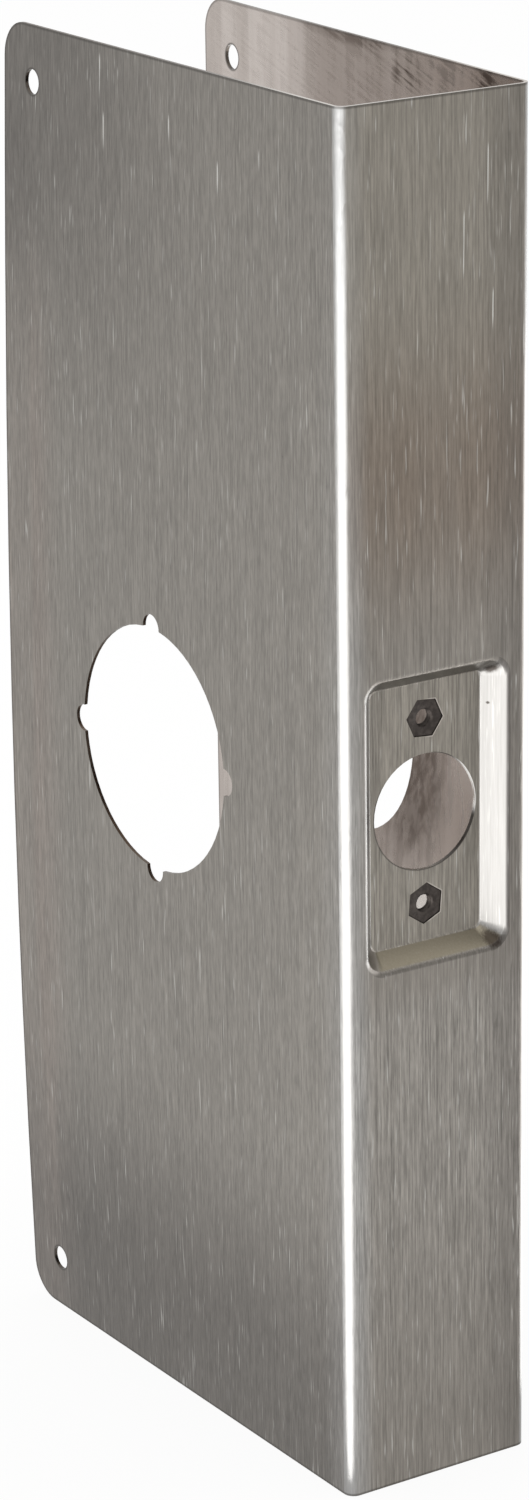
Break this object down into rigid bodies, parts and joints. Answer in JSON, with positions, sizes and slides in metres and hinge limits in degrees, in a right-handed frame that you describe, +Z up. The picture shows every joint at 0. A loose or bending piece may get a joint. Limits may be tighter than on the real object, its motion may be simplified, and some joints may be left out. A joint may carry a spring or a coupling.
{
  "type": "door reinforcer plate",
  "caption": "Folded U-shaped sheet that wraps a door's lock edge, with a cross hole through both leaves and a stamped latch recess.",
  "frame": {"origin": "on the axis of the cross hole, halfway between the two leaves at the edge face", "axes": "+X out of the door's edge, +Y along the cross hole towards the far leaf, +Z up the height of the plate"},
  "size_m": [0.1313, 0.0562, 0.3048],
  "materials": {
    "plate": "brushed along the height outside, smooth mill finish inside",
    "nut": "black oxide, matt"
  },
  "bodies": {
    "root": {"wrap_plate": "plate", "upper_latch_nut": "nut", "lower_latch_nut": "nut"}
  },
  "joints": []
}
